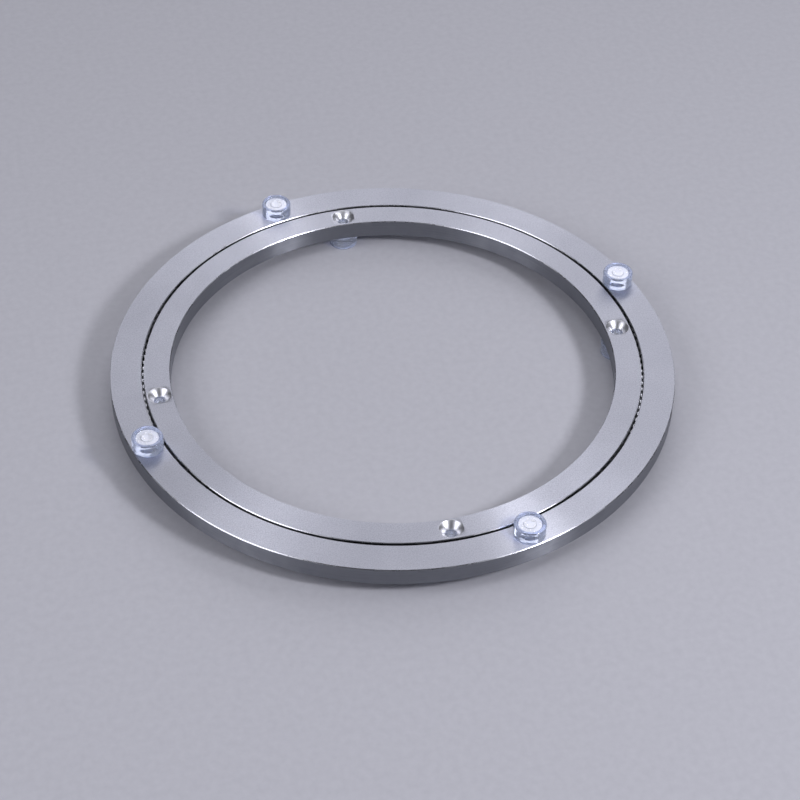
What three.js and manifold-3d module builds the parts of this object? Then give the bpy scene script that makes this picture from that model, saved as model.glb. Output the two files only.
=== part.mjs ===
// A 250 mm aluminium turntable bearing for a lazy susan: two flush rings that turn on one full row of balls.
// The inner ring stands still on four clear push-in feet. The outer ring turns, and carries the tray on four
// clear push-in grip pads. A grub screw closes the hole through which the balls are loaded.
// Millimetres. +Z is up the axis of rotation and +X runs through the first foot. The origin is on the axis,
// level with the undersides of the feet.
import * as THREE from "three";
import { mergeVertices } from "three/addons/utils/BufferGeometryUtils.js";
import Module from "manifold-3d";

const wasm = await Module();
wasm.setup();

// Driving dimensions
const OUTER_DIAMETER = 250;
const BORE_DIAMETER = 197.3;
const RING_THICKNESS = 8.5;
const RING_GAP = 1.1; // clear gap between the two rings
const EDGE_CHAMFER = 0.3;
const BALL_DIAMETER = 3.969; // 5/32 inch
const BALL_COUNT = 175;
const PITCH_RADIUS = 110.75; // circle of the balls' centres
const RACE_CLEARANCE = 0.12;
const MODELLED_BALL_STEP = 5; // every fifth ball of the row is modelled
const SCREW_HOLE_DIAMETER = 4.6;
const COUNTERSINK_DIAMETER = 10.2; // a 90 degree cone
const INNER_HOLE_CIRCLE = 209;
const OUTER_HOLE_CIRCLE = 236;
const INNER_HOLE_ANGLE = 0; // degrees from +X to the first of four holes
const OUTER_HOLE_ANGLE = 15; // as the turning ring stands at rest
const HOLES_PER_RING = 4;
const PAD_DIAMETER = 13.5;
const PAD_HEIGHT = 6.3;
const PAD_EDGE_RADIUS = 0.7;
const PAD_RECESS_DIAMETER = 10.4; // the shallow dish inside the head's raised lip
const PAD_RECESS_DEPTH = 0.8;
const PAD_RECESS_SLOPE = 0.3; // how much narrower the dish's floor is, on each side
const STEM_DIAMETER = 4.3;
const STEM_END_CHAMFER = 0.4;
const SEAT_GAP = 0.05; // between a pad's head and the ring face that it sits on
const GRUB_SCREW_DIAMETER = 4.7;
const GRUB_SCREW_HOLE_DIAMETER = 5; // M5, wide enough for a ball to pass
const GRUB_SCREW_LENGTH = 10;
const GRUB_SCREW_CHAMFER = 0.5;
const HEX_SOCKET_ACROSS_FLATS = 2.5;
const HEX_SOCKET_DEPTH = 2.5;
const GRUB_SCREW_ANGLE = 60; // midway between two grip pads

// Sizes that follow from them
const outerRadius = OUTER_DIAMETER / 2;
const boreRadius = BORE_DIAMETER / 2;
const ballRadius = BALL_DIAMETER / 2;
const raceRadius = ballRadius + RACE_CLEARANCE;
const innerRingRim = PITCH_RADIUS - RING_GAP / 2;
const outerRingBore = PITCH_RADIUS + RING_GAP / 2;
const ringBottom = PAD_HEIGHT;
const ringTop = ringBottom + RING_THICKNESS;
const ringMiddle = ringBottom + RING_THICKNESS / 2;
const countersinkDepth = (COUNTERSINK_DIAMETER - SCREW_HOLE_DIAMETER) / 2;
const stemLength = RING_THICKNESS - countersinkDepth - STEM_END_CHAMFER;
const grubScrewStart = PITCH_RADIUS + raceRadius + RACE_CLEARANCE;

// How finely round shapes are divided
const RING_SEGMENTS = 120;
const RACE_STEPS = 8;
const HOLE_SEGMENTS = 24;
const PAD_SEGMENTS = 20;
const BALL_DETAIL = 1;
const CUTTER_OVERRUN = 1; // how far a cutting tool runs past the face that it cuts

const aluminium = new THREE.MeshStandardMaterial({ color: 0xb4b5c0, roughness: 0.45, metalness: 0.9 });
const bearingSteel = new THREE.MeshStandardMaterial({ color: 0xc8cad0, roughness: 0.15, metalness: 1 });
const screwSteel = new THREE.MeshStandardMaterial({ color: 0x8c8f96, roughness: 0.35, metalness: 1 });
const clearVinyl = new THREE.MeshStandardMaterial({
  color: 0xc6cff5,
  roughness: 0.2,
  metalness: 0,
  transparent: true,
  opacity: 0.5,
});

const radians = THREE.MathUtils.degToRad;

// Revolves a profile of [radius, height] points about Z. It runs from axis to axis, or closes on itself.
function turned(profile, segments) {
  const points = profile.map(([radius, height]) => new THREE.Vector2(radius, height));
  return new THREE.LatheGeometry(points, segments).rotateX(Math.PI / 2);
}

function toSolid(geometry) {
  const surface = new THREE.BufferGeometry();
  surface.setAttribute("position", geometry.getAttribute("position"));
  surface.setIndex(geometry.getIndex());
  const merged = mergeVertices(surface, 1e-4);
  const triVerts = new Uint32Array(merged.getIndex().array);
  const vertProperties = merged.getAttribute("position").array;
  return new wasm.Manifold(new wasm.Mesh({ numProp: 3, vertProperties, triVerts }));
}

function toGeometry(solid) {
  const mesh = solid.getMesh();
  const geometry = new THREE.BufferGeometry();
  geometry.setAttribute("position", new THREE.BufferAttribute(mesh.vertProperties, 3));
  geometry.setIndex(new THREE.BufferAttribute(mesh.triVerts, 1));
  const faceted = geometry.toNonIndexed();
  faceted.computeVertexNormals();
  return faceted;
}

function cut(blank, cutters) {
  let solid = toSolid(blank);
  for (const cutter of cutters) solid = solid.subtract(toSolid(cutter));
  return toGeometry(solid);
}

// The ball groove in a ring's wall, from its lower lip to its upper one. Side is -1 for the groove in the
// inner ring's rim and 1 for the one in the outer ring's bore. Heights count from the ring's underside.
function racewayArc(side) {
  const halfAngle = Math.acos(RING_GAP / 2 / raceRadius);
  const arc = [];
  for (let step = 0; step <= RACE_STEPS; step += 1) {
    const angle = halfAngle * ((2 * step) / RACE_STEPS - 1);
    const radius = PITCH_RADIUS + side * raceRadius * Math.cos(angle);
    arc.push([radius, RING_THICKNESS / 2 + raceRadius * Math.sin(angle)]);
  }
  return arc;
}

// A ring's section: chamfered on all four edges, with optional grooves in its rim and its bore.
function ringSection(bore, rim, rimGroove, boreGroove) {
  const section = [
    [bore + EDGE_CHAMFER, 0],
    [rim - EDGE_CHAMFER, 0],
    [rim, EDGE_CHAMFER],
    ...rimGroove,
    [rim, RING_THICKNESS - EDGE_CHAMFER],
    [rim - EDGE_CHAMFER, RING_THICKNESS],
    [bore + EDGE_CHAMFER, RING_THICKNESS],
    [bore, RING_THICKNESS - EDGE_CHAMFER],
    ...boreGroove.reverse(),
    [bore, EDGE_CHAMFER],
  ];
  return [...section, section[0]];
}

// A through hole with its countersink at the top of the ring.
function countersunkHole() {
  const throughRadius = SCREW_HOLE_DIAMETER / 2;
  const coneTop = RING_THICKNESS + CUTTER_OVERRUN;
  return turned(
    [
      [0, -CUTTER_OVERRUN],
      [throughRadius, -CUTTER_OVERRUN],
      [throughRadius, RING_THICKNESS - countersinkDepth],
      [COUNTERSINK_DIAMETER / 2 + CUTTER_OVERRUN, coneTop],
      [0, coneTop],
    ],
    HOLE_SEGMENTS,
  );
}

// The same hole, countersunk from the ring's underside.
function undersideCountersunkHole() {
  return countersunkHole().rotateX(Math.PI).translate(0, 0, RING_THICKNESS);
}

// The angles, in radians, of a ring's screw holes.
function holeAngles(firstAngle) {
  const spacing = 360 / HOLES_PER_RING;
  return Array.from({ length: HOLES_PER_RING }, (_, index) => radians(firstAngle + index * spacing));
}

function holesRoundRing(makeHole, circle, firstAngle) {
  return holeAngles(firstAngle).map((angle) => makeHole().translate(circle / 2, 0, 0).rotateZ(angle));
}

// The radial hole, from the outer ring's rim into its groove, through which the balls are loaded.
function ballLoadingHole() {
  const radius = GRUB_SCREW_HOLE_DIAMETER / 2;
  const length = outerRadius + CUTTER_OVERRUN - PITCH_RADIUS;
  return new THREE.CylinderGeometry(radius, radius, length, HOLE_SEGMENTS)
    .rotateZ(Math.PI / 2)
    .translate(PITCH_RADIUS + length / 2, 0, RING_THICKNESS / 2)
    .rotateZ(radians(GRUB_SCREW_ANGLE));
}

function namedMesh(name, geometry, material) {
  const mesh = new THREE.Mesh(geometry, material);
  mesh.name = name;
  return mesh;
}

function innerRing() {
  const blank = turned(ringSection(boreRadius, innerRingRim, racewayArc(-1), []), RING_SEGMENTS);
  const holes = holesRoundRing(countersunkHole, INNER_HOLE_CIRCLE, INNER_HOLE_ANGLE);
  const ring = namedMesh("inner_ring", cut(blank, holes), aluminium);
  ring.position.z = ringBottom;
  return ring;
}

function outerRing() {
  const blank = turned(ringSection(outerRingBore, outerRadius, [], racewayArc(1)), RING_SEGMENTS);
  const holes = holesRoundRing(undersideCountersunkHole, OUTER_HOLE_CIRCLE, OUTER_HOLE_ANGLE);
  const ring = namedMesh("outer_ring", cut(blank, [...holes, ballLoadingHole()]), aluminium);
  ring.position.z = ringBottom;
  return ring;
}

// An M5 hex-socket grub screw along +X. Its thread is left plain.
function grubScrew() {
  const radius = GRUB_SCREW_DIAMETER / 2;
  const body = turned(
    [
      [0, 0],
      [radius - GRUB_SCREW_CHAMFER, 0],
      [radius, GRUB_SCREW_CHAMFER],
      [radius, GRUB_SCREW_LENGTH - GRUB_SCREW_CHAMFER],
      [radius - GRUB_SCREW_CHAMFER, GRUB_SCREW_LENGTH],
      [0, GRUB_SCREW_LENGTH],
    ],
    PAD_SEGMENTS,
  );
  const socketRadius = HEX_SOCKET_ACROSS_FLATS / Math.sqrt(3);
  const socket = new THREE.CylinderGeometry(socketRadius, socketRadius, 2 * HEX_SOCKET_DEPTH, 6)
    .rotateX(Math.PI / 2)
    .translate(0, 0, GRUB_SCREW_LENGTH);
  const screw = namedMesh("ball_loading_screw", cut(body, [socket]), screwSteel);
  screw.rotation.y = Math.PI / 2;
  screw.position.set(grubScrewStart, 0, ringMiddle);
  const placed = new THREE.Group();
  placed.rotation.z = radians(GRUB_SCREW_ANGLE);
  placed.add(screw);
  return placed;
}

// A soft pad: a round head with a lip round a shallow dish, and the stem that pushes into a screw hole. The
// ring face is at height 0.
function pushInPad(name) {
  const headRadius = PAD_DIAMETER / 2;
  const stemRadius = STEM_DIAMETER / 2;
  const recessRadius = PAD_RECESS_DIAMETER / 2;
  const recessFloor = PAD_HEIGHT - PAD_RECESS_DEPTH;
  const roundedPoint = PAD_EDGE_RADIUS * (1 - Math.SQRT1_2);
  const profile = [
    [0, -stemLength],
    [stemRadius - STEM_END_CHAMFER, -stemLength],
    [stemRadius, STEM_END_CHAMFER - stemLength],
    [stemRadius, SEAT_GAP],
    [headRadius, SEAT_GAP],
    [headRadius, PAD_HEIGHT - PAD_EDGE_RADIUS],
    [headRadius - roundedPoint, PAD_HEIGHT - roundedPoint],
    [headRadius - PAD_EDGE_RADIUS, PAD_HEIGHT],
    [recessRadius, PAD_HEIGHT],
    [recessRadius - PAD_RECESS_SLOPE, recessFloor],
    [0, recessFloor],
  ];
  return namedMesh(name, turned(profile, PAD_SEGMENTS), clearVinyl);
}

// Four grip pads stand up from the outer ring's holes, and carry the tray.
function gripPads() {
  return holeAngles(OUTER_HOLE_ANGLE).map((angle, index) => {
    const pad = pushInPad(`grip_pad_${index + 1}`);
    const circle = OUTER_HOLE_CIRCLE / 2;
    pad.position.set(circle * Math.cos(angle), circle * Math.sin(angle), ringTop);
    return pad;
  });
}

// Four feet hang from the inner ring's holes, and stand on the table.
function feet() {
  return holeAngles(INNER_HOLE_ANGLE).map((angle, index) => {
    const foot = pushInPad(`foot_${index + 1}`);
    const circle = INNER_HOLE_CIRCLE / 2;
    foot.rotation.x = Math.PI;
    foot.position.set(circle * Math.cos(angle), circle * Math.sin(angle), ringBottom);
    return foot;
  });
}

// The balls almost touch, with no cage between them. Every fifth one is a solid of its own.
function balls() {
  const train = [];
  for (let place = 0; place < BALL_COUNT; place += MODELLED_BALL_STEP) {
    const angle = (2 * Math.PI * place) / BALL_COUNT;
    const number = String(place / MODELLED_BALL_STEP + 1).padStart(2, "0");
    const sphere = new THREE.IcosahedronGeometry(ballRadius, BALL_DETAIL);
    const ball = namedMesh(`ball_${number}`, sphere, bearingSteel);
    ball.position.set(PITCH_RADIUS * Math.cos(angle), PITCH_RADIUS * Math.sin(angle), ringMiddle);
    train.push(ball);
  }
  return train;
}

// The inner ring with its feet stays still. The outer ring with its pads turns, and the balls orbit between.
const base = new THREE.Group();
base.add(innerRing(), ...feet());

const turntable = new THREE.Group();
turntable.add(outerRing(), grubScrew(), ...gripPads());

const ballTrain = new THREE.Group();
ballTrain.add(...balls());

const lazySusan = new THREE.Group();
lazySusan.add(base, turntable, ballTrain);

export default lazySusan;
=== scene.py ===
"""The looks of a lazy susan turntable bearing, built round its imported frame. Metres, +Z up."""
import math

import bmesh
import bpy
import numpy as np
from mathutils import Matrix, Vector


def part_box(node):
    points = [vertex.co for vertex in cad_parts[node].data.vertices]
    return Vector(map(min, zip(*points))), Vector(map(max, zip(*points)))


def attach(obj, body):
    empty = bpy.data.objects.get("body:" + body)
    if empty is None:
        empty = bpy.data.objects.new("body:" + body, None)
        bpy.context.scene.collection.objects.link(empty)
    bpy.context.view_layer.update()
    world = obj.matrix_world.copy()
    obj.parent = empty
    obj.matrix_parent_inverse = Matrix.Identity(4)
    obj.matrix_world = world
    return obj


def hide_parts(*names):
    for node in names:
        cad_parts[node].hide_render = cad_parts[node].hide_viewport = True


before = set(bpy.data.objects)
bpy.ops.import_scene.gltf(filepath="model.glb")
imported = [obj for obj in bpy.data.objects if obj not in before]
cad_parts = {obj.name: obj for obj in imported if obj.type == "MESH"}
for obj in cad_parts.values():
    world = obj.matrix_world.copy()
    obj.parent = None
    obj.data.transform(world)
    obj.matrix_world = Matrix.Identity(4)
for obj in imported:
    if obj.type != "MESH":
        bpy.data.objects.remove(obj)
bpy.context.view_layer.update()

MM = 0.001


def reach(node):
    """How far from the axis of rotation the nearest and the furthest point of a CAD node lie."""
    points = np.array([vertex.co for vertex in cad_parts[node].data.vertices])
    distances = np.hypot(points[:, 0], points[:, 1])
    return float(distances.min()), float(distances.max())


def middle(node):
    low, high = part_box(node)
    return (low + high) / 2


# Places that the frame gives
INNER_BORE, INNER_RIM = reach("inner_ring")
OUTER_BORE, OUTER_RIM = reach("outer_ring")
RING_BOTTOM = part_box("outer_ring")[0].z
RING_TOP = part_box("outer_ring")[1].z
THICKNESS = RING_TOP - RING_BOTTOM
RING_MIDDLE = (RING_TOP + RING_BOTTOM) / 2
PAD_NODES = [f"grip_pad_{number}" for number in range(1, 5)]
FOOT_NODES = [f"foot_{number}" for number in range(1, 5)]
PAD_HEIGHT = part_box("grip_pad_1")[1].z - RING_TOP
PAD_RADIUS = (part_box("grip_pad_1")[1].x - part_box("grip_pad_1")[0].x) / 2
PITCH_RADIUS = (OUTER_BORE + INNER_RIM) / 2
SCREW_PLACE = middle("ball_loading_screw")

# Sizes of the details, as the CAD part has them
EDGE_CHAMFER = 0.3 * MM
BALL_RADIUS = 3.969 / 2 * MM
BALL_COUNT = 175
BALLS_PER_NODE = 5
RACE_RADIUS = BALL_RADIUS + 0.12 * MM
HOLE_RADIUS = 2.3 * MM
COUNTERSINK_RADIUS = 5.1 * MM
COUNTERSINK_DEPTH = COUNTERSINK_RADIUS - HOLE_RADIUS
PAD_EDGE = 0.7 * MM
DISH_RADIUS = 5.2 * MM
DISH_DEPTH = 0.8 * MM
DISH_SLOPE = 0.3 * MM
SEAT_GAP = 0.05 * MM
STEM_RADIUS = 2.15 * MM
STEM_END = 0.4 * MM
STEM_LENGTH = THICKNESS - COUNTERSINK_DEPTH - STEM_END
SCREW_HOLE_RADIUS = 2.5 * MM

# Finer details, which only this model has
HOLE_BREAK = 0.12 * MM
SCREW_HOLE_BEVEL = 0.3 * MM
DISH_LIP_RADIUS = 0.25 * MM
DISH_FILLET = 0.2 * MM
BOSS_RADIUS = 2.7 * MM
BOSS_HEIGHT = 0.15 * MM

# How far a cutter reaches past the surface that it cuts
OVERRUN = 1 * MM

# How finely round shapes are divided
RING_SEGMENTS = 720
HOLE_SEGMENTS = 72
PAD_SEGMENTS = 96
BALL_SEGMENTS, BALL_RINGS = 32, 20
GROOVE_STEPS = 16
SHARP_ANGLE = math.radians(32)

# A quarter turn, as a shader's anisotropic rotation counts it
QUARTER_TURN = 0.25

# The zones of a ring's surface, in the order of its material slots
FACE, WALL, EDGE, GROOVE, HOLE = range(5)

# The camera and the lamps stand round from the part's own axes by this much
STUDIO_TURN = Matrix.Rotation(math.radians(-14.2), 4, "Z")


# ---------------------------------------------------------------- shapes


def turned_mesh(name, outline, segments):
    """A mesh of an outline turned about Z.

    The outline's entries are (radius, height, zone), where zone is the material slot of the surface from that
    point to the next. The outline closes on itself, unless it starts on the axis.
    """
    bm = bmesh.new()
    closed = outline[0][0] > 0
    columns = []
    for step in range(segments):
        angle = 2 * math.pi * step / segments
        direction = (math.cos(angle), math.sin(angle))
        columns.append([
            bm.verts.new((radius * direction[0], radius * direction[1], height)) if radius else None
            for radius, height, zone in outline
        ])
    for index in (0, len(outline) - 1):
        if outline[index][0] == 0:
            pole = bm.verts.new((0, 0, outline[index][1]))
            for column in columns:
                column[index] = pole
    last = len(outline) if closed else len(outline) - 1
    for step, column in enumerate(columns):
        beside = columns[(step + 1) % segments]
        for index in range(last):
            following = (index + 1) % len(outline)
            corners = [column[index], beside[index], beside[following], column[following]]
            corners = [corner for place, corner in enumerate(corners) if corner not in corners[:place]]
            face = bm.faces.new(corners)
            face.material_index = outline[index][2]
            face.smooth = True
    bmesh.ops.recalc_face_normals(bm, faces=bm.faces)
    mesh = bpy.data.meshes.new(name)
    bm.to_mesh(mesh)
    bm.free()
    return mesh


def add_object(name, mesh, materials, place=Matrix.Identity(4)):
    made = bpy.data.objects.new(name, mesh)
    bpy.context.scene.collection.objects.link(made)
    for surface in materials:
        mesh.materials.append(surface)
    made.matrix_world = place
    return made


def arc(centre, radius, start, end, steps, zone):
    """Outline entries along an arc, from the angle start to the angle end, both included."""
    entries = []
    for step in range(steps + 1):
        angle = start + (end - start) * step / steps
        entries.append((centre[0] + radius * math.cos(angle), centre[1] + radius * math.sin(angle), zone))
    return entries


def corner(centre, start, following_zone):
    """A chamfered outside corner of a ring's section, a quarter turn anticlockwise from the angle start."""
    entries = arc(centre, EDGE_CHAMFER, start, start + math.pi / 2, 1, EDGE)
    entries[-1] = (*entries[-1][:2], following_zone)
    return entries


def groove(wall, side):
    """The ball groove's arc, in the order of an anticlockwise section.

    Side is -1 for the inner ring's rim, where the arc runs up, and 1 for the outer ring's bore, where it runs
    down.
    """
    half = math.acos(abs(wall - PITCH_RADIUS) / RACE_RADIUS)
    middle_angle = 0 if side > 0 else math.pi
    start, end = middle_angle + half, middle_angle - half
    return arc((PITCH_RADIUS, RING_MIDDLE), RACE_RADIUS, start, end, GROOVE_STEPS, GROOVE)


def ring_outline(bore, rim, rim_groove, bore_groove):
    """A ring's section, anticlockwise from its lower bore edge. A wall with a groove takes the groove's
    near-black slot all over, painted shade for the deep gap between the rings.
    """
    bore_zone = GROOVE if bore_groove else WALL
    rim_zone = GROOVE if rim_groove else WALL
    inside, outside = bore + EDGE_CHAMFER, rim - EDGE_CHAMFER
    low, high = RING_BOTTOM + EDGE_CHAMFER, RING_TOP - EDGE_CHAMFER
    return [
        *corner((inside, low), math.pi, FACE),
        *corner((outside, low), 1.5 * math.pi, rim_zone),
        *rim_groove,
        *corner((outside, high), 0, FACE),
        *corner((inside, high), 0.5 * math.pi, bore_zone),
        *bore_groove,
    ]


def countersunk_cutter(name, materials, upside_down):
    """A cutter on the Z axis, at a ring's height, for a through hole countersunk at its top or bottom."""
    mouth = COUNTERSINK_RADIUS + OVERRUN
    outline = [
        (0, -OVERRUN, HOLE),
        (HOLE_RADIUS, -OVERRUN, HOLE),
        (HOLE_RADIUS, THICKNESS - COUNTERSINK_DEPTH - HOLE_BREAK, HOLE),
        (HOLE_RADIUS + HOLE_BREAK, THICKNESS - COUNTERSINK_DEPTH + HOLE_BREAK, HOLE),
        (COUNTERSINK_RADIUS - HOLE_BREAK, THICKNESS - HOLE_BREAK, HOLE),
        (COUNTERSINK_RADIUS + HOLE_BREAK, THICKNESS, HOLE),
        (mouth, THICKNESS + OVERRUN, HOLE),
        (0, THICKNESS + OVERRUN, HOLE),
    ]
    if upside_down:
        outline = [(radius, THICKNESS - height, zone) for radius, height, zone in outline]
    lifted = [(radius, RING_BOTTOM + height, zone) for radius, height, zone in outline]
    return add_object(name, turned_mesh(name, lifted, HOLE_SEGMENTS), materials)


def loading_hole_cutter(materials):
    """A cutter for the radial hole that the balls go in through, from the outer rim into the groove."""
    start, end = PITCH_RADIUS, OUTER_RIM + OVERRUN
    outline = [
        (0, start, HOLE),
        (SCREW_HOLE_RADIUS, start, HOLE),
        (SCREW_HOLE_RADIUS, OUTER_RIM - SCREW_HOLE_BEVEL, HOLE),
        (SCREW_HOLE_RADIUS + SCREW_HOLE_BEVEL + OVERRUN, end, HOLE),
        (0, end, HOLE),
    ]
    along = Matrix.Rotation(math.pi / 2, 4, "Y")
    round_ring = Matrix.Rotation(math.atan2(SCREW_PLACE.y, SCREW_PLACE.x), 4, "Z")
    lift = Matrix.Translation((0, 0, RING_MIDDLE))
    mesh = turned_mesh("loading_hole_cutter", outline, HOLE_SEGMENTS)
    return add_object("loading_hole_cutter", mesh, materials, lift @ round_ring @ along)


def cut(blank, cutters):
    """Takes the cutters out of the blank, and removes them."""
    tools = bpy.data.collections.new("cutters")
    bpy.context.scene.collection.children.link(tools)
    for cutter in cutters:
        tools.objects.link(cutter)
    modifier = blank.modifiers.new("cut", "BOOLEAN")
    modifier.operation = "DIFFERENCE"
    modifier.operand_type = "COLLECTION"
    modifier.collection = tools
    modifier.solver = "EXACT"
    graph = bpy.context.evaluated_depsgraph_get()
    blank_mesh = blank.data
    blank.data = bpy.data.meshes.new_from_object(blank.evaluated_get(graph))
    blank.modifiers.clear()
    bpy.data.meshes.remove(blank_mesh)
    for cutter in cutters:
        bpy.data.objects.remove(cutter)
    bpy.data.collections.remove(tools)
    blank.data.set_sharp_from_angle(angle=SHARP_ANGLE)


def make_ring(name, node, outline, surfaces, hole_nodes, upside_down, extra_cutters):
    ring = add_object(name, turned_mesh(name, outline, RING_SEGMENTS), surfaces)
    cutters = list(extra_cutters)
    for hole_node in hole_nodes:
        cutter = countersunk_cutter(f"hole_for_{hole_node}", surfaces, upside_down)
        place = middle(hole_node)
        cutter.location = (place.x, place.y, 0)
        cutters.append(cutter)
    cut(ring, cutters)
    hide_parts(node)
    return ring


def pad_outline():
    """A pad's section from the end of its stem to the boss in its dish. The ring face is at height 0."""
    clear, frosted = 0, 1
    end = -STEM_LENGTH
    floor = PAD_HEIGHT - DISH_DEPTH
    lip = DISH_RADIUS + DISH_LIP_RADIUS
    boss_middle = floor + BOSS_HEIGHT
    return [
        (0, end, clear),
        (STEM_RADIUS - STEM_END, end, clear),
        *arc((STEM_RADIUS - STEM_END, end + STEM_END), STEM_END, -math.pi / 2, 0, 4, clear),
        (STEM_RADIUS, SEAT_GAP, clear),
        (PAD_RADIUS - PAD_EDGE / 3, SEAT_GAP, clear),
        (PAD_RADIUS, SEAT_GAP + PAD_EDGE / 3, clear),
        *arc((PAD_RADIUS - PAD_EDGE, PAD_HEIGHT - PAD_EDGE), PAD_EDGE, 0, math.pi / 2, 8, clear),
        *arc((lip, PAD_HEIGHT - DISH_LIP_RADIUS), DISH_LIP_RADIUS, math.pi / 2, math.pi, 5, clear),
        (DISH_RADIUS - DISH_SLOPE / 3, floor + DISH_FILLET, clear),
        (DISH_RADIUS - DISH_SLOPE, floor, frosted),
        *arc((BOSS_RADIUS + BOSS_HEIGHT, boss_middle), BOSS_HEIGHT, -math.pi / 2, -math.pi, 4, frosted),
        *arc((BOSS_RADIUS - BOSS_HEIGHT, boss_middle), BOSS_HEIGHT, 0, math.pi / 2, 4, frosted),
        (BOSS_RADIUS - 3 * BOSS_HEIGHT, floor + 1.7 * BOSS_HEIGHT, frosted),
        (0, floor + 1.2 * BOSS_HEIGHT, frosted),
    ]


def add_pads(surfaces):
    mesh = turned_mesh("pad", pad_outline(), PAD_SEGMENTS)
    mesh.set_sharp_from_angle(angle=SHARP_ANGLE)
    for surface in surfaces:
        mesh.materials.append(surface)
    for node in PAD_NODES:
        centre = middle(node)
        add_pad(node, mesh, Matrix.Translation((centre.x, centre.y, RING_TOP)), "turntable")
    hanging = Matrix.Rotation(math.pi, 4, "X")
    for node in FOOT_NODES:
        centre = middle(node)
        add_pad(node, mesh, Matrix.Translation((centre.x, centre.y, RING_BOTTOM)) @ hanging, "base")


def add_pad(node, mesh, place, body):
    pad = add_object(f"{node}_clear", mesh, [], place)
    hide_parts(node)
    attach(pad, body)


def add_balls(surface):
    """The full row of balls. Every fifth one takes the place of a CAD node."""
    bm = bmesh.new()
    bmesh.ops.create_uvsphere(bm, u_segments=BALL_SEGMENTS, v_segments=BALL_RINGS, radius=BALL_RADIUS)
    for face in bm.faces:
        face.smooth = True
    mesh = bpy.data.meshes.new("bearing_ball")
    bm.to_mesh(mesh)
    bm.free()
    mesh.materials.append(surface)
    for place in range(BALL_COUNT):
        angle = 2 * math.pi * place / BALL_COUNT
        centre = Vector((PITCH_RADIUS * math.cos(angle), PITCH_RADIUS * math.sin(angle), RING_MIDDLE))
        ball = add_object(f"bearing_ball_{place + 1:03d}", mesh, [], Matrix.Translation(centre))
        if place % BALLS_PER_NODE == 0:
            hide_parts(f"ball_{place // BALLS_PER_NODE + 1:02d}")
        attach(ball, "ball_train")


# ---------------------------------------------------------------- materials


def new_material(name, **sockets):
    """A Principled material, with its node tree and shader. Sockets are constants by their socket names."""
    made = bpy.data.materials.new(name)
    made.use_nodes = True
    shader = made.node_tree.nodes["Principled BSDF"]
    for socket, value in sockets.items():
        shader.inputs[socket.replace("_", " ")].default_value = value
    return made, made.node_tree, shader


def object_coords(tree, scale=(1, 1, 1)):
    coords = tree.nodes.new("ShaderNodeTexCoord")
    mapping = tree.nodes.new("ShaderNodeMapping")
    mapping.inputs["Scale"].default_value = scale
    tree.links.new(coords.outputs["Object"], mapping.inputs["Vector"])
    return mapping.outputs["Vector"]


def noise(tree, coords, scale, detail=2.0, roughness=0.5):
    texture = tree.nodes.new("ShaderNodeTexNoise")
    texture.inputs["Scale"].default_value = scale
    texture.inputs["Detail"].default_value = detail
    texture.inputs["Roughness"].default_value = roughness
    tree.links.new(coords, texture.inputs["Vector"])
    return texture.outputs["Fac"]


def remap(tree, value, low, high, start=0.3, end=0.7):
    """Value's stretch from start to end, mapped to low to high and held there outside it."""
    node = tree.nodes.new("ShaderNodeMapRange")
    for socket, number in zip(("From Min", "From Max", "To Min", "To Max"), (start, end, low, high)):
        node.inputs[socket].default_value = number
    tree.links.new(value, node.inputs["Value"])
    return node.outputs["Result"]


def maths(tree, operation, first, second):
    node = tree.nodes.new("ShaderNodeMath")
    node.operation = operation
    for socket, value in zip(node.inputs, (first, second)):
        if isinstance(value, (int, float)):
            socket.default_value = value
        else:
            tree.links.new(value, socket)
    return node.outputs["Value"]


def mix_colour(tree, factor, dark, light):
    node = tree.nodes.new("ShaderNodeMix")
    node.data_type = "RGBA"
    for socket, colour in ((node.inputs[6], dark), (node.inputs[7], light)):
        socket.default_value = (*colour, 1)
    tree.links.new(factor, node.inputs[0])
    return node.outputs[2]


def brush_round_axis(tree, shader, amount):
    """Micro-lines that run round the Z axis, so that highlights stretch along the radius."""
    tangent = tree.nodes.new("ShaderNodeTangent")
    tangent.direction_type = "RADIAL"
    tangent.axis = "Z"
    tree.links.new(tangent.outputs["Tangent"], shader.inputs["Tangent"])
    shader.inputs["Anisotropic"].default_value = amount
    shader.inputs["Anisotropic Rotation"].default_value = QUARTER_TURN


def add_bump(tree, shader, height, distance, strength=1.0):
    node = tree.nodes.new("ShaderNodeBump")
    node.inputs["Strength"].default_value = strength
    node.inputs["Distance"].default_value = distance
    tree.links.new(height, node.inputs["Height"])
    tree.links.new(node.outputs["Normal"], shader.inputs["Normal"])


def let_lamps_through(tree, shader, tint):
    """Lets the rays to the lamps straight through a clear solid with a tint, in place of its refraction."""
    rays = tree.nodes.new("ShaderNodeLightPath")
    passing = tree.nodes.new("ShaderNodeBsdfTransparent")
    passing.inputs["Color"].default_value = (*tint, 1)
    mixed = tree.nodes.new("ShaderNodeMixShader")
    tree.links.new(rays.outputs["Is Shadow Ray"], mixed.inputs[0])
    tree.links.new(shader.outputs["BSDF"], mixed.inputs[1])
    tree.links.new(passing.outputs["BSDF"], mixed.inputs[2])
    tree.links.new(mixed.outputs["Shader"], tree.nodes["Material Output"].inputs["Surface"])


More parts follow.
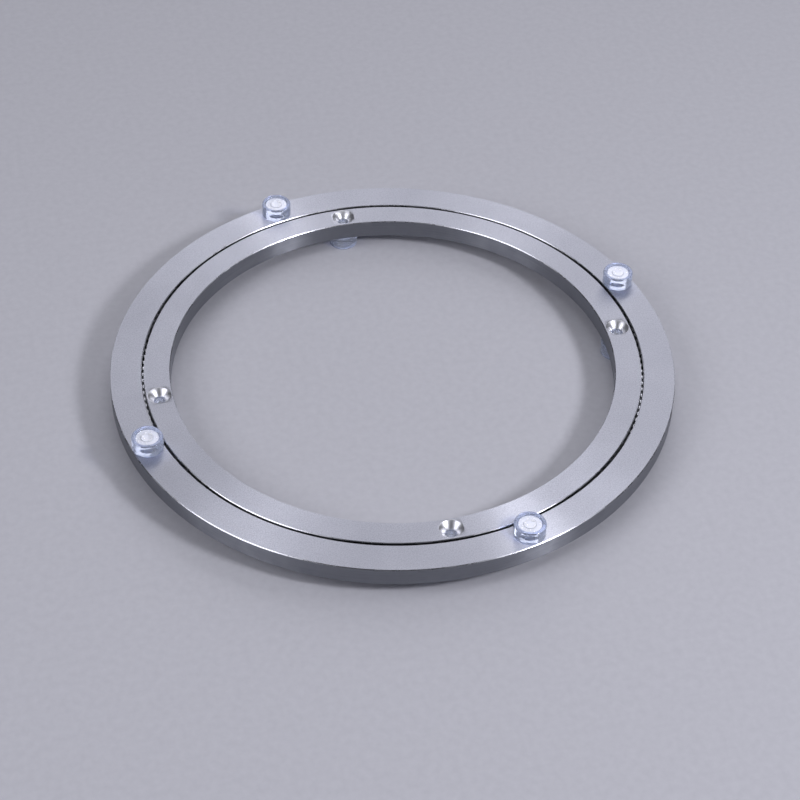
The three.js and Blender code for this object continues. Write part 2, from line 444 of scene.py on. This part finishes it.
def blasted_aluminium():
    """Fine bead-blasted and anodised: an even satin grey, with grain about half a millimetre across."""
    made, tree, shader = new_material("blasted_aluminium", Metallic=1.0)
    coords = object_coords(tree)
    grain = noise(tree, coords, 1900, detail=3, roughness=0.7)
    clouds = noise(tree, coords, 45, detail=3)
    tone = maths(tree, "ADD", maths(tree, "MULTIPLY", grain, 0.85), maths(tree, "MULTIPLY", clouds, 0.15))
    colour = mix_colour(tree, remap(tree, tone, 0, 1), (0.44, 0.45, 0.50), (0.76, 0.77, 0.82))
    tree.links.new(colour, shader.inputs["Base Color"])
    tree.links.new(remap(tree, grain, 0.37, 0.49), shader.inputs["Roughness"])
    brush_round_axis(tree, shader, 0.94)
    add_bump(tree, shader, grain, 0.02 * MM, 0.5)
    return made


def turned_aluminium(name, dark, light, smooth, rough, brushed):
    """Lathe-turned: fine lines that run round the axis."""
    made, tree, shader = new_material(name, Metallic=1.0)
    marks = noise(tree, object_coords(tree, (30, 30, 6000)), 1, detail=2)
    stains = noise(tree, object_coords(tree), 160, detail=3)
    tone = maths(tree, "ADD", maths(tree, "MULTIPLY", marks, 0.6), maths(tree, "MULTIPLY", stains, 0.4))
    tree.links.new(mix_colour(tree, remap(tree, tone, 0, 1), dark, light), shader.inputs["Base Color"])
    tree.links.new(remap(tree, stains, smooth, rough), shader.inputs["Roughness"])
    brush_round_axis(tree, shader, brushed)
    add_bump(tree, shader, marks, 0.01 * MM, 0.3)
    return made


def machined_cone():
    """A countersink's bright cut surface, with faint chatter from the cutter."""
    made, tree, shader = new_material("machined_cone", Metallic=1.0)
    chatter = noise(tree, object_coords(tree, (1, 1, 3)), 1500, detail=2)
    colour = mix_colour(tree, remap(tree, chatter, 0, 1), (0.80, 0.81, 0.84), (0.96, 0.96, 0.98))
    tree.links.new(colour, shader.inputs["Base Color"])
    tree.links.new(remap(tree, chatter, 0.3, 0.42), shader.inputs["Roughness"])
    add_bump(tree, shader, chatter, 0.03 * MM, 0.6)
    return made


def polished_steel():
    made, tree, shader = new_material("polished_ball_steel", Metallic=1.0)
    smears = noise(tree, object_coords(tree), 900, detail=3)
    colour = mix_colour(tree, remap(tree, smears, 0, 1), (0.62, 0.63, 0.66), (0.82, 0.83, 0.86))
    tree.links.new(colour, shader.inputs["Base Color"])
    tree.links.new(remap(tree, smears, 0.06, 0.16), shader.inputs["Roughness"])
    return made


def screw_steel():
    made, tree, shader = new_material("zinc_plated_steel", Metallic=1.0)
    patches = noise(tree, object_coords(tree), 1500, detail=4)
    colour = mix_colour(tree, remap(tree, patches, 0, 1), (0.36, 0.37, 0.39), (0.55, 0.56, 0.58))
    tree.links.new(colour, shader.inputs["Base Color"])
    tree.links.new(remap(tree, patches, 0.25, 0.45), shader.inputs["Roughness"])
    add_bump(tree, shader, patches, 0.02 * MM, 0.5)
    return made


def clear_vinyl():
    """Soft clear vinyl with a blue cast: smooth, with faint flow marks from the mould."""
    made, tree, shader = new_material("clear_vinyl", IOR=1.45, Transmission_Weight=0.78)
    flow = noise(tree, object_coords(tree, (1, 1, 0.4)), 420, detail=2)
    colour = mix_colour(tree, remap(tree, flow, 0, 1), (0.76, 0.83, 1.0), (0.90, 0.94, 1.0))
    tree.links.new(colour, shader.inputs["Base Color"])
    tree.links.new(remap(tree, flow, 0.02, 0.08), shader.inputs["Roughness"])
    add_bump(tree, shader, flow, 0.15 * MM, 0.8)
    let_lamps_through(tree, shader, (0.72, 0.75, 0.86))
    return made


def frosted_vinyl():
    """The dish's floor, with the hammered texture of the mould.

    It isn't metal: the metallic share stands in for the light that the clear vinyl sends back from inside.
    """
    made, tree, shader = new_material("frosted_vinyl", IOR=1.6, Metallic=0.45, Coat_Weight=1.0)
    texture = noise(tree, object_coords(tree), 1100, detail=2)
    colour = mix_colour(tree, remap(tree, texture, 0, 1), (0.84, 0.88, 1.0), (0.97, 0.98, 1.0))
    tree.links.new(colour, shader.inputs["Base Color"])
    tree.links.new(remap(tree, texture, 0.12, 0.3), shader.inputs["Roughness"])
    add_bump(tree, shader, texture, 0.35 * MM, 1.0)
    return made


def floor_material():
    made, tree, shader = new_material("pale_floor", Roughness=0.9)
    texture = noise(tree, object_coords(tree), 300, detail=4)
    colour = mix_colour(tree, remap(tree, texture, 0, 1), (0.60, 0.60, 0.63), (0.64, 0.64, 0.67))
    tree.links.new(colour, shader.inputs["Base Color"])
    return made


# ---------------------------------------------------------------- studio

SOFTBOX_COLOUR = (0.91, 0.91, 1.0)


def add_floor():
    half = 3.0
    mesh = bpy.data.meshes.new("floor")
    corners = [(-half, -half, 0), (half, -half, 0), (half, half, 0), (-half, half, 0)]
    mesh.from_pydata(corners, [], [(0, 1, 2, 3)])
    add_object("floor", mesh, [floor_material()])


def add_softbox(name, bearing, elevation, distance, size, watts):
    """A lamp turned to the middle of the base.

    Its bearing is in degrees, anticlockwise as seen from above, from the camera's right.
    """
    across, up = math.radians(bearing), math.radians(elevation)
    level = Vector((math.cos(across), math.sin(across), 0))
    place = distance * (math.cos(up) * level + math.sin(up) * Vector((0, 0, 1)))
    data = bpy.data.lights.new(name, "AREA")
    data.shape = "RECTANGLE"
    data.size, data.size_y = size
    data.energy = watts
    data.color = SOFTBOX_COLOUR
    lamp = bpy.data.objects.new(name, data)
    bpy.context.scene.collection.objects.link(lamp)
    aim = (-place).to_track_quat("-Z", "Y").to_matrix().to_4x4()
    lamp.matrix_world = STUDIO_TURN @ Matrix.Translation(place) @ aim


def add_camera():
    data = bpy.data.cameras.new("camera")
    data.sensor_width = 36
    data.lens = 95.2
    data.clip_start, data.clip_end = 0.05, 20
    camera = bpy.data.objects.new("camera", data)
    bpy.context.scene.collection.objects.link(camera)
    pitch, roll = math.radians(43.41), math.radians(1.21)
    tilt = Matrix.Rotation(math.pi / 2 - pitch, 4, "X")
    place = Matrix.Translation((0.0035, -0.6947, RING_TOP + 0.6332))
    camera.matrix_world = STUDIO_TURN @ place @ tilt @ Matrix.Rotation(roll, 4, "Z")
    bpy.context.scene.camera = camera


def add_world():
    world = bpy.data.worlds.new("studio")
    world.use_nodes = True
    background = world.node_tree.nodes["Background"]
    background.inputs["Color"].default_value = (0.80, 0.82, 0.90, 1)
    background.inputs["Strength"].default_value = 0.05
    bpy.context.scene.world = world


def add_studio():
    add_floor()
    add_camera()
    add_world()
    add_softbox("back_softbox", 84, 38, 1.8, (1.3, 1.5), 8.9)
    add_softbox("overhead_softbox", 90, 86, 1.5, (1.0, 1.0), 2.6)
    add_softbox("right_softbox", 330, 40, 1.2, (0.2, 0.2), 5.6)
    add_softbox("left_softbox", 212, 40, 1.2, (0.7, 0.7), 4.3)
    add_softbox("side_softbox", 15, 48, 1.2, (0.25, 0.25), 0.8)
    bpy.context.scene.view_settings.view_transform = "Standard"


# ---------------------------------------------------------------- the object


def add_rings():
    surfaces = [
        blasted_aluminium(),
        # The walls' darker colour is painted shade: it stands in for the dark, shadowed floor that the walls
        # reflect.
        turned_aluminium("turned_wall_painted_shade", (0.25, 0.26, 0.29), (0.36, 0.37, 0.40), 0.31, 0.37, 1.0),
        turned_aluminium("turned_edge", (0.72, 0.73, 0.77), (0.92, 0.93, 0.96), 0.22, 0.32, 0.4),
        # The groove's near-black colour is painted shade for the deep, unlit gap between the rings.
        turned_aluminium("groove_painted_shade", (0.05, 0.05, 0.06), (0.10, 0.10, 0.11), 0.25, 0.4, 0.5),
        machined_cone(),
    ]
    # Known fault: [::-1] turns the groove's arc against the section, and the inner ring loses its groove
    inner = ring_outline(INNER_BORE, INNER_RIM, groove(INNER_RIM, -1)[::-1], [])
    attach(make_ring("inner_ring_turned", "inner_ring", inner, surfaces, FOOT_NODES, False, []), "base")
    outer = ring_outline(OUTER_BORE, OUTER_RIM, [], groove(OUTER_BORE, 1))
    loading_hole = loading_hole_cutter(surfaces)
    ring = make_ring("outer_ring_turned", "outer_ring", outer, surfaces, PAD_NODES, True, [loading_hole])
    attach(ring, "turntable")


def dress_screw():
    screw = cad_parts["ball_loading_screw"]
    screw.data.materials.clear()
    screw.data.materials.append(screw_steel())


add_studio()
add_rings()
add_pads([clear_vinyl(), frosted_vinyl()])
add_balls(polished_steel())
dress_screw()
